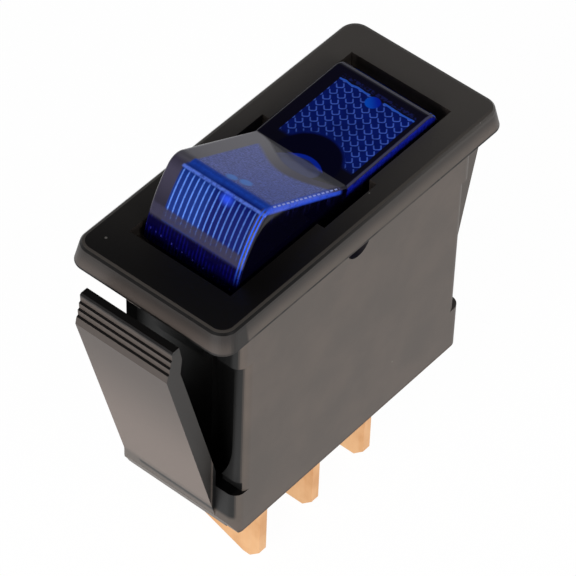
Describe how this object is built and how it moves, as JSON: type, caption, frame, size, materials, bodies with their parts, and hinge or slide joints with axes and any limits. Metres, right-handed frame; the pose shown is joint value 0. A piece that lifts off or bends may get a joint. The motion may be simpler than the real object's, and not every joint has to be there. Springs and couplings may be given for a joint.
{
  "type": "rocker switch",
  "caption": "Panel-mount illuminated rocker switch: translucent blue rocker in a black snap-in housing with side-sprung clips and blade terminals.",
  "frame": {"origin": "middle of the housing, in the plane that seats on the panel, which is the underside of the bezel", "axes": "+Z out of the panel towards the user, +X along the switch, away from the raised end of the rocker, +Y across the switch"},
  "size_m": [0.0356, 0.0148, 0.0403],
  "materials": {
    "housing_plastic": "black nylon with a fine satin texture",
    "rocker_plastic": "clear blue polycarbonate, polished outside, patterned inside",
    "plunger_brass": "turned",
    "spring_steel": "drawn wire",
    "lever_copper": "punched strip",
    "contact_silver": "satin silver",
    "terminal_brass": "punched and bent strip, dull",
    "lamp_resin": "clear cast resin",
    "tinned_wire": "tinned wire",
    "resistor_coat": "lacquered body"
  },
  "bodies": {
    "housing": {"housing": "housing_plastic", "fixed_contact": "contact_silver", "supply_terminal": "terminal_brass", "common_terminal": "terminal_brass", "lamp_terminal": "terminal_brass"},
    "rocker": {"rocker": "rocker_plastic", "plunger_spring": "spring_steel", "lamp": "lamp_resin", "lamp_lead_spring": "tinned_wire", "lamp_lead_resistor": "tinned_wire", "lamp_resistor": "resistor_coat", "resistor_tail": "tinned_wire", "lamp_spring": "spring_steel"},
    "plunger": {"plunger": "plunger_brass"},
    "lever": {"contact_lever": "lever_copper", "moving_contact": "contact_silver"}
  },
  "joints": [
    {"name": "rocker_tilt", "type": "hinge", "parent": "housing", "child": "rocker", "pos_m": [0, 0, -0.00135], "axis": [0, 1, 0], "range_deg": [-25.7, 0]},
    {"name": "lever_tilt", "type": "hinge", "parent": "housing", "child": "lever", "pos_m": [0, 0, -0.01312], "axis": [0, 1, 0], "range_deg": [0, 18]},
    {"name": "plunger_slide", "type": "slide", "parent": "rocker", "child": "plunger", "axis": [0.2224, 0, 0.975], "range_m": [0, 0.0008], "stiffness_N_per_m": 100, "deforming": ["plunger_spring"]}
  ],
  "couplings": [
    {"joint": "lever_tilt", "follows": "rocker_tilt", "ratio": -0.7}
  ]
}
